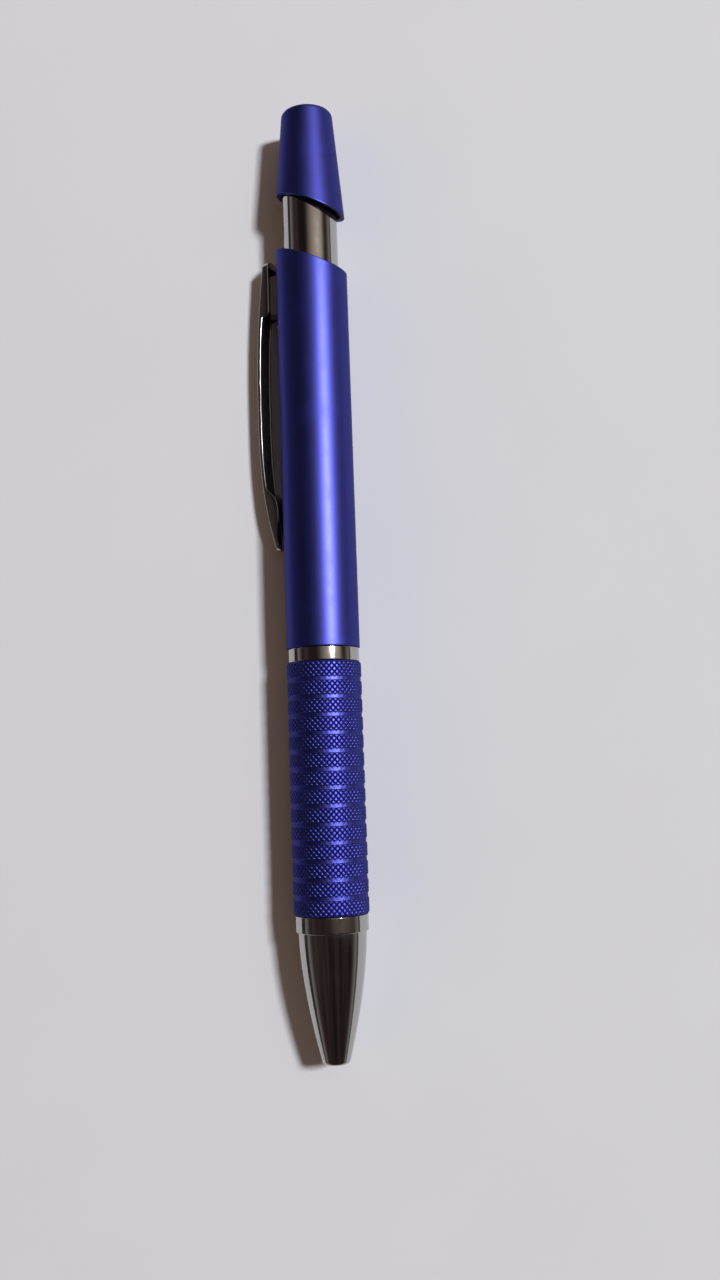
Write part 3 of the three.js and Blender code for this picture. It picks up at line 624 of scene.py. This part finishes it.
def barrel_outline(angle):
    """The tube's wall on one side. The mouth rises towards the clip."""
    lift = math.cos(angle) * MOUTH_SLANT
    return [
        (BARREL_RADIUS, barrel_start, 0.14),
        (BARREL_RADIUS, mouth + BARREL_RADIUS * lift, 0.16),
        (BARREL_BORE_RADIUS, mouth + BARREL_BORE_RADIUS * lift, 0.12),
        (BARREL_BORE_RADIUS, barrel_start, 0.1),
    ]


# The faces inside the tube and the cap are painted dark and dull: painted shade in the hollow, in a
# speckled tone.
painted_inside_shade, tree = new_tree("painted_inside_shade")
where = add(tree, "TexCoord").outputs["Object"]
specks = add(tree, "TexNoise", {
    "Vector": where, "Scale": 1 / (INSIDE_SHADE_SPECK_SIZE * MM), "Detail": 3.0,
})
tone = add(tree, "Mix", {
    "Factor": specks.outputs["Fac"],
    "A": linear(INSIDE_SHADE_COLOURS[0]),
    "B": linear(INSIDE_SHADE_COLOURS[1]),
}, data_type="RGBA")
surface = add(tree, "BsdfPrincipled", {"Base Color": tone.outputs["Result"], "Roughness": 0.7})
add(tree, "OutputMaterial", {"Surface": surface.outputs["BSDF"]})


def paint_inside_shade(piece):
    """Gives the faces that look towards the axis the painted shade."""
    piece.data.materials.append(painted_inside_shade)
    for face in piece.data.polygons:
        outwards = face.center - axis
        outwards.y = 0
        if face.normal.dot(outwards) < INWARDS_COSINE * outwards.length:
            face.material_index = 1


barrel = turned("barrel_tube", barrel_outline, steps=BARREL_STEPS)
barrel.data.materials.append(blue_lacquer)
# The inside of the tube gets painted shade.
paint_inside_shade(barrel)
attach(barrel, "barrel")
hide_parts("upper_barrel")


# Plunger tube
# A thin drawn brass tube, chrome plated, that slides in the mouth's bush and carries the button.
TUBE_RADIUS = 4.07
TUBE_BORE_RADIUS = 3.62

tube_start, tube_end = span("plunger_tube")
plunger = turned("chromed_tube", [
    (TUBE_RADIUS, tube_start, 0.1),
    (TUBE_RADIUS, tube_end, 0.1),
    (TUBE_BORE_RADIUS, tube_end, 0.08),
    (TUBE_BORE_RADIUS, tube_start, 0.08),
])
plunger.data.materials.append(bright_chrome)
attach(plunger, "button")
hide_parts("plunger_tube")


# Button
# A pressed aluminium cap that tapers to a nearly flat top, with its rim cut on the same slant as
# the mouth. It is lacquered with the barrel and pressed over the end of the tube.
CAP_LENGTH = 14.6
CAP_TAPER = math.tan(math.radians(4.8))
CAP_WALL = 0.7
CAP_FIT = 0.05
CAP_CROWN = 0.1

cap_end = span("button_cap")[1]
cap_start = cap_end - CAP_LENGTH


def cap_radius(station):
    """The cap's outer radius, from its fit over the end of the tube."""
    return TUBE_RADIUS + CAP_FIT + CAP_WALL + CAP_TAPER * (tube_end - station)


def cap_outline(angle):
    """The cap's wall on one side. The rim rises towards the clip."""
    lift = math.cos(angle) * MOUTH_SLANT
    outer = cap_radius(cap_start) / (1 + CAP_TAPER * lift)
    inner = (cap_radius(cap_start) - CAP_WALL) / (1 + CAP_TAPER * lift)
    roof = cap_end - CAP_WALL
    return [
        (outer, cap_start + outer * lift, 0.16),
        (cap_radius(cap_end), cap_end - CAP_CROWN, 0.5),
        (0, cap_end),
        (0, roof),
        (cap_radius(roof) - CAP_WALL, roof, 0.2),
        (inner, cap_start + inner * lift, 0.1),
    ]


cap = turned("button", cap_outline, steps=BARREL_STEPS)
cap.data.materials.append(blue_lacquer)
# The inside of the cap gets painted shade.
paint_inside_shade(cap)
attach(cap, "button")
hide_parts("button_cap")


# Clip
# A pressed steel channel, bright chromed, with deep cheeks at its root, shallow lips along its
# length and a rounded lobe over its tip. Its root is welded to a foot in the barrel's slot.
CLIP_SHEET = 0.36
CLIP_CORNER = 0.18
CLIP_HALF_WIDTH = 1.65
CLIP_TOP_CORNER = 1.1
CLIP_TIP_HALF_WIDTH = 0.75
CLIP_TIP_TAPER = 7.0
CHEEK_LENGTH = 7.8
CHEEK_REACH = 6.55
CHEEK_ROUND = 0.9
CHEEK_LEAST_DEPTH = 0.1
LIP_DEPTH = 0.6

# A reach is a distance from the pen's axis. The bow's two shares say how much of the way the
# outer face has risen halfway to its crown, and fallen halfway from it.
CLIP_TIP_REACH = 6.85
CLIP_CROWN_REACH = 8.94
CLIP_CROWN_DROP = 22.0
CLIP_END_REACH = 7.6
CLIP_END_ROUND = 0.95
BOW_RISE = 0.84
BOW_FALL = 0.24

# The lobe's free edge, as pairs of the distance from the clip's tip and the reach.
LOBE_EDGE = (
    (0, 6.6), (1.4, 6.55), (3, 6.3), (4.6, 5.97), (6.3, 5.95), (7.9, 6.4), (9.3, 7.75),
)

# Rows of points lie closer where the clip's form turns fast.
CLIP_STEPS = 90
TIP_ROWS = (0.0, 0.04, 0.12, 0.25, 0.4, 0.6, 0.8)
TIP_ROWS_LENGTH = 0.9
TOP_ROWS = (1.0, 0.8, 0.6, 0.4, 0.25, 0.12, 0.04, 0.0)
TOP_ROWS_LENGTH = 1.2
CHEEK_ROWS = (0, 0.2, 0.4, 0.6, 0.75, 0.87, 0.95, 1)
CHANNEL_END_WALL = 0.8
CHANNEL_END_STEP = 0.12
FACE_SHARES = (0.6, 0.2)

CHROME_ON_STEEL_COLOUR = "#bfbebd"
# The colours and limits of the duller grey inside the channel, which is partly thin plating and
# partly painted shade.
THIN_PLATING_AND_SHADE_COLOURS = ("#6c6a72", "#929096")
THIN_PLATING_AND_SHADE_PATCH_SIZE = 0.8
THIN_PLATING_AND_SHADE_ABOVE_EDGE = 0.12
THIN_PLATING_AND_SHADE_BELOW_FACE = 0.1

clip_tip, clip_top = span("clip")
crown = clip_top - CLIP_CROWN_DROP
shoulder = clip_top - CLIP_END_ROUND
bow = [
    (clip_tip, CLIP_TIP_REACH),
    ((clip_tip + crown) / 2, CLIP_TIP_REACH + BOW_RISE * (CLIP_CROWN_REACH - CLIP_TIP_REACH)),
    (crown, CLIP_CROWN_REACH),
    ((crown + shoulder) / 2, CLIP_CROWN_REACH - BOW_FALL * (CLIP_CROWN_REACH - CLIP_END_REACH)),
    (shoulder, CLIP_END_REACH),
]


def through(points, value):
    """A smooth curve through (place, height) pairs, read at a place."""
    index = max(i for i, point in enumerate(points[:-1]) if point[0] <= value or i == 0)
    (x0, y0), (x1, y1) = points[index], points[index + 1]
    slopes = []
    for i in (index, index + 1):
        low, high = points[max(i - 1, 0)], points[min(i + 1, len(points) - 1)]
        slopes.append((high[1] - low[1]) / (high[0] - low[0]))
    t = (value - x0) / (x1 - x0)
    gap = x1 - x0
    return (
        y0 * (1 + 2 * t) * (1 - t) ** 2 + slopes[0] * gap * t * (1 - t) ** 2
        + y1 * t * t * (3 - 2 * t) + slopes[1] * gap * t * t * (t - 1)
    )


def clip_reach(station):
    """How far the clip's outer face stands from the pen's axis."""
    if station <= shoulder:
        return through(bow, station)
    over = min((station - shoulder) / CLIP_END_ROUND, 1)
    return CLIP_END_REACH - CLIP_END_ROUND * (1 - math.sqrt(1 - over * over))


def clip_half_width(station):
    """Half the clip's width: rounded at the top, narrowed towards the tip and rounded there."""
    from_top = clip_top - station
    if from_top < CLIP_TOP_CORNER:
        drop = CLIP_TOP_CORNER - from_top
        rounding = math.sqrt(max(CLIP_TOP_CORNER ** 2 - drop ** 2, 0))
        return CLIP_HALF_WIDTH - CLIP_TOP_CORNER + rounding
    from_tip = station - clip_tip
    width = CLIP_HALF_WIDTH
    if from_tip < CLIP_TIP_TAPER:
        t = from_tip / CLIP_TIP_TAPER
        growth = 1 - (1 - t) ** 2
        width = CLIP_TIP_HALF_WIDTH + (CLIP_HALF_WIDTH - CLIP_TIP_HALF_WIDTH) * growth
    if from_tip < CLIP_TIP_HALF_WIDTH:
        # The very end keeps some width, so that it can be closed.
        drop = 1 - from_tip / CLIP_TIP_HALF_WIDTH
        width *= math.sqrt(max(1 - drop * drop, 0.02))
    return width


def clip_edge(station):
    """How far the side walls' free edge stands from the pen's axis: a cheek, a lip, a lobe."""
    lip = clip_reach(station) - LIP_DEPTH
    from_top = clip_top - station
    if from_top < CHEEK_LENGTH:
        return min(CHEEK_REACH, clip_reach(station) - CHEEK_LEAST_DEPTH)
    if from_top < CHEEK_LENGTH + CHEEK_ROUND:
        t = (from_top - CHEEK_LENGTH) / CHEEK_ROUND
        return CHEEK_REACH + (lip - CHEEK_REACH) * (1 - math.sqrt(1 - t * t))
    from_tip = station - clip_tip
    if from_tip < LOBE_EDGE[-1][0]:
        return min(through(LOBE_EDGE, from_tip), lip)
    return lip


def quarter(steps):
    """The angles of a quarter turn in equal steps."""
    return [math.pi / 2 * step / steps for step in range(steps + 1)]


def clip_section(station, hollow):
    """The channel's section as (across, reach) points: round the outside, then back round the
    inside."""
    reach, half_width, edge = clip_reach(station), clip_half_width(station), clip_edge(station)
    depth = reach - edge

    # The sheet and its corners shrink where the clip is too small for them.
    corner = min(CLIP_CORNER, depth * 0.9, half_width * 0.9)
    sheet = min(CLIP_SHEET, half_width * 0.6)
    inner_half = half_width - sheet
    roof = edge + (reach - CLIP_SHEET - edge) * hollow
    inner_corner = min(max(corner - sheet, 0.12), max(roof - edge, 0) * 0.9, inner_half * 0.9)
    soft = min(sheet / 2, depth * 0.4)
    flat = half_width - corner

    outside = [
        (half_width - sheet / 2 + sheet / 2 * math.sin(turn), edge + soft - soft * math.cos(turn))
        for turn in quarter(4)
    ]
    outside += [
        (flat + corner * math.cos(turn), reach - corner + corner * math.sin(turn))
        for turn in quarter(6)
    ]
    outside += [(share * flat, reach) for share in FACE_SHARES]
    inside = [(share * flat, roof) for share in reversed(FACE_SHARES)]
    inside += [
        (inner_half - inner_corner + inner_corner * math.cos(turn),
         roof - inner_corner + inner_corner * math.sin(turn))
        for turn in reversed(quarter(4))
    ]
    inside += [
        (inner_half + sheet / 2 - sheet / 2 * math.cos(turn), edge + soft - soft * math.sin(turn))
        for turn in quarter(4)[:-1]
    ]
    other_outside = [(-across, height) for across, height in reversed(outside)]
    other_inside = [(-across, height) for across, height in reversed(inside)]
    return outside + other_outside + other_inside + inside


def clip_piece(name):
    """The clip as one skin: its sections from tip to top, closed at both ends."""
    middle_start = clip_tip + TIP_ROWS_LENGTH
    middle_length = clip_top - clip_tip - TIP_ROWS_LENGTH - TOP_ROWS_LENGTH
    channel_start, channel_end = clip_tip + CHANNEL_END_WALL, shoulder
    cheek_end = clip_top - CHEEK_LENGTH
    stations = [clip_tip + share * TIP_ROWS_LENGTH for share in TIP_ROWS]
    stations += [middle_start + middle_length * step / CLIP_STEPS for step in range(CLIP_STEPS + 1)]
    stations += [clip_top - drop for drop in TOP_ROWS]
    stations += [channel_start, channel_start + CHANNEL_END_STEP]
    stations += [channel_end - CHANNEL_END_STEP, channel_end]
    stations += [cheek_end - CHEEK_ROUND * share for share in CHEEK_ROWS]
    stations = sorted(set(round(station, 4) for station in stations))

    # The channel is closed at both ends, and a point that falls in the step there is half deep.
    points = []
    for station in stations:
        into_channel = min(station - channel_start, channel_end - station)
        hollow = 0.0 if into_channel <= 0.01 else 0.5 if into_channel < 0.1 else 1.0
        for across, reach in clip_section(station, hollow):
            along = Vector((0, tip_y + station * MM, 0))
            points.append(axis + to_clip * (reach * MM) + sideways * (across * MM) + along)
    count = len(points) // len(stations)
    faces = band_faces(count, len(stations) - 1, False)
    for base in (0, len(points) - count):
        for corner in range(count // 2 - 1):
            left, right = base + corner, base + count - 1 - corner
            faces.append((left, left + 1, right - 1, right))
    return welded(name, points, faces, sharp=40)


clip = clip_piece("pressed_clip")
clip_chrome = chrome_plate("bright_chrome_on_steel", CHROME_ON_STEEL_COLOUR, roughness=0.12)
clip.data.materials.append(clip_chrome)

# Inside the narrow channel the chrome is painted a duller grey. This is partly thin plating and
# partly painted shade in the channel.
thin_plating_and_shade, tree = new_tree("thin_plating_and_shade")
where = add(tree, "TexCoord").outputs["Object"]
patches = add(tree, "TexNoise", {
    "Vector": where, "Scale": 1 / (THIN_PLATING_AND_SHADE_PATCH_SIZE * MM), "Detail": 4.0,
})
tone = add(tree, "Mix", {
    "Factor": patches.outputs["Fac"],
    "A": linear(THIN_PLATING_AND_SHADE_COLOURS[0]),
    "B": linear(THIN_PLATING_AND_SHADE_COLOURS[1]),
}, data_type="RGBA")
surface = add(tree, "BsdfPrincipled", {
    "Base Color": tone.outputs["Result"], "Metallic": 1.0, "Roughness": 0.34,
})
add(tree, "OutputMaterial", {"Surface": surface.outputs["BSDF"]})
clip.data.materials.append(thin_plating_and_shade)
for face in clip.data.polygons:
    offset = face.center - axis
    across = offset.dot(sideways)
    reach = offset.dot(to_clip) / MM
    station = (face.center.y - tip_y) / MM
    lowest = clip_edge(station) + THIN_PLATING_AND_SHADE_ABOVE_EDGE
    highest = clip_reach(station) - THIN_PLATING_AND_SHADE_BELOW_FACE
    looks_in = face.normal.dot(to_clip) < -0.5 or face.normal.dot(sideways) * across < 0
    if looks_in and lowest < reach < highest:
        face.material_index = 1
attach(clip, "clip")
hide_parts("clip")


# Refill's point
# A turned brass point with the writing ball in its socket. It comes out of the nose when the
# button is pressed, and its spigot is pressed into the refill's tube.
POINT_RADIUS = 1.2
POINT_CONE_LENGTH = 2.5
POINT_CONE_MIDDLE_RADIUS = 0.744
POINT_SPIGOT_RADIUS = 0.78
POINT_SPIGOT_LENGTH = 3.0
SOCKET_LIP = 0.06
SOCKET_FIT = 0.02
SOCKET_CONE_LENGTH = 0.12
POINT_STEPS = 64
BALL_RADIUS = 0.35
BALL_STEPS = 16
BRASS_COLOUR = "#b8933f"
STEEL_COLOUR = "#a9abad"
STAIN_SIZE = 2.5
MARKS_ROUND = (0.05, 1, 0.05)
MARKS_ALONG = (1, 0.05, 1)

point_start, point_end = span("refill_point")
ball_start, ball_end = span("writing_ball")
ball_middle = (ball_start + ball_end) / 2
socket_end = ball_end + SOCKET_FIT
spigot_start = point_end - POINT_SPIGOT_LENGTH
point = turned("turned_point", [
    (BALL_RADIUS + SOCKET_LIP, point_start, 0.02),
    (POINT_CONE_MIDDLE_RADIUS, ball_start + POINT_CONE_LENGTH / 2),
    (POINT_RADIUS, ball_start + POINT_CONE_LENGTH, 0.15),
    (POINT_RADIUS, spigot_start, 0.05),
    (POINT_SPIGOT_RADIUS, spigot_start),
    (POINT_SPIGOT_RADIUS, point_end, 0.1),
    (0, point_end),
    (0, socket_end),
    (BALL_RADIUS + SOCKET_FIT, socket_end - SOCKET_CONE_LENGTH),
    (BALL_RADIUS + SOCKET_FIT, point_start),
], steps=POINT_STEPS)
ball_turns = [math.pi * step / BALL_STEPS for step in range(BALL_STEPS + 1)]
ball = turned("writing_ball_steel", [
    (BALL_RADIUS * math.sin(turn), ball_middle - BALL_RADIUS * math.cos(turn))
    for turn in ball_turns
], steps=2 * BALL_STEPS)


def worked_metal(name, colour, roughness, mark, stretch):
    """A turned or drawn metal, with tool marks of a given width that run the way of the
    stretch."""
    material, tree = new_tree(name)
    where = add(tree, "TexCoord").outputs["Object"]
    along = add(tree, "Mapping", {"Vector": where, "Scale": stretch})
    marks = add(tree, "TexNoise", {
        "Vector": along.outputs["Vector"], "Scale": 1 / (mark * MM), "Detail": 3.0,
    })
    stains = add(tree, "TexNoise", {"Vector": where, "Scale": 1 / (STAIN_SIZE * MM), "Detail": 3.0})
    tone = add(tree, "MapRange", {
        "Value": stains.outputs["Fac"], "From Min": 0.3, "From Max": 0.7,
        "To Min": 0.82, "To Max": 1.0,
    })
    tint = add(
        tree, "Mix", {"Factor": 1.0, "A": linear(colour), "B": tone.outputs["Result"]},
        data_type="RGBA", blend_type="MULTIPLY",
    )
    worn = add(tree, "MapRange", {
        "Value": marks.outputs["Fac"], "From Min": 0.3, "From Max": 0.7,
        "To Min": roughness - 0.06, "To Max": roughness + 0.08,
    })
    relief = add(tree, "Bump", {
        "Height": marks.outputs["Fac"], "Strength": 0.4, "Distance": 0.01 * MM,
    })
    surface = add(tree, "BsdfPrincipled", {
        "Base Color": tint.outputs["Result"],
        "Metallic": 1.0,
        "Roughness": worn.outputs["Result"],
        "Normal": relief.outputs["Normal"],
    })
    add(tree, "OutputMaterial", {"Surface": surface.outputs["BSDF"]})
    return material


brass = worked_metal(
    "turned_brass", BRASS_COLOUR, roughness=0.28, mark=0.15, stretch=MARKS_ROUND,
)
steel = worked_metal(
    "drawn_steel", STEEL_COLOUR, roughness=0.26, mark=0.2, stretch=MARKS_ALONG,
)
point.data.materials.append(brass)
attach(point, "refill")
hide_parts("refill_point")
ball.data.materials.append(steel)
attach(ball, "refill")
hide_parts("writing_ball")


# Return spring
# A right-handed coil of drawn spring wire round the refill's neck. It stands on the nose's step,
# and the refill's shoulder squeezes it.
SPRING_COILS = 9
WIRE_RADIUS = 0.2
WIRE_SIDES = 10
STEPS_PER_COIL = 32

spring_start, spring_end = span("return_spring")
spring_low, spring_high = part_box("return_spring")
coil_radius = (spring_high.z - spring_low.z) / 2 / MM - WIRE_RADIUS
coil_start = spring_start + WIRE_RADIUS
coil_length = spring_end - spring_start - 2 * WIRE_RADIUS
coil_steps = SPRING_COILS * STEPS_PER_COIL
spring_points = []
for step in range(coil_steps + 1):
    turn = 2 * math.pi * SPRING_COILS * step / coil_steps
    wire_station = coil_start + coil_length * step / coil_steps
    for side in range(WIRE_SIDES):
        round_wire = 2 * math.pi * side / WIRE_SIDES
        out = WIRE_RADIUS * math.cos(round_wire)
        up = WIRE_RADIUS * math.sin(round_wire)
        spring_points.append(place(coil_radius + out, wire_station + up, turn))
spring_faces = band_faces(WIRE_SIDES, coil_steps, False)
spring_faces.append(range(WIRE_SIDES))
spring_faces.append(range(len(spring_points) - 1, len(spring_points) - 1 - WIRE_SIDES, -1))
spring = welded("coiled_spring", spring_points, spring_faces, sharp=60)
spring.data.materials.append(steel)
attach(spring, "grip")
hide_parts("return_spring")
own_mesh(spring)


# Inner pieces
# These keep their construction shapes. The liner, the guide bush, the core and the plug are
# moulded in black ABS, the cams and the rotor in white acetal, the thread bush is turned brass,
# the refill's tube is drawn steel, and the clip's foot is chromed like the clip.
BLACK_COLOURS = ("#161618", "#202022")
WHITE_COLOURS = ("#dcd9cf", "#e8e6df")
INK_COLOURS = ("#10226a", "#1a3190")
SPARKED_GRAIN_SIZE = 0.12
WORN_PATCH_SIZE = 4


def moulded(name, colours, roughness, scatter):
    """A moulded plastic: a fine sparked surface, and a slightly uneven tone where it was
    handled."""
    material, tree = new_tree(name)
    where = add(tree, "TexCoord").outputs["Object"]
    grain = add(tree, "TexNoise", {
        "Vector": where, "Scale": 1 / (SPARKED_GRAIN_SIZE * MM), "Detail": 2.0,
    })
    wear = add(tree, "TexNoise", {
        "Vector": where, "Scale": 1 / (WORN_PATCH_SIZE * MM), "Detail": 3.0,
    })
    tone = add(tree, "Mix", {
        "Factor": wear.outputs["Fac"], "A": linear(colours[0]), "B": linear(colours[1]),
    }, data_type="RGBA")
    gloss = add(tree, "MapRange", {
        "Value": wear.outputs["Fac"], "From Min": 0.3, "From Max": 0.7,
        "To Min": roughness - 0.08, "To Max": roughness + 0.06,
    })
    relief = add(tree, "Bump", {
        "Height": grain.outputs["Fac"], "Strength": 0.3, "Distance": 0.01 * MM,
    })
    surface = add(tree, "BsdfPrincipled", {
        "Base Color": tone.outputs["Result"],
        "Roughness": gloss.outputs["Result"],
        "IOR": 1.5,
        "Subsurface Weight": scatter,
        "Subsurface Scale": 0.5 * MM,
        "Normal": relief.outputs["Normal"],
    })
    add(tree, "OutputMaterial", {"Surface": surface.outputs["BSDF"]})
    return material


black = moulded("moulded_black_abs", BLACK_COLOURS, roughness=0.5, scatter=0.0)
white = moulded("moulded_white_acetal", WHITE_COLOURS, roughness=0.42, scatter=0.15)

# The ink is a thick paste with a wet gloss, drawn as a glossy plastic.
ink = moulded("blue_ink", INK_COLOURS, roughness=0.2, scatter=0.0)
for names, material in (
    (("grip_liner", "guide_bush", "button_core", "refill_plug"), black),
    (("push_cam", "cam_sleeve", "rotor"), white),
    (("thread_bush",), brass),
    (("refill_tube",), steel),
    (("ink_charge",), ink),
    (("clip_foot",), clip_chrome),
):
    for node in names:
        frame["nodes"][node].material_slots[0].material = material
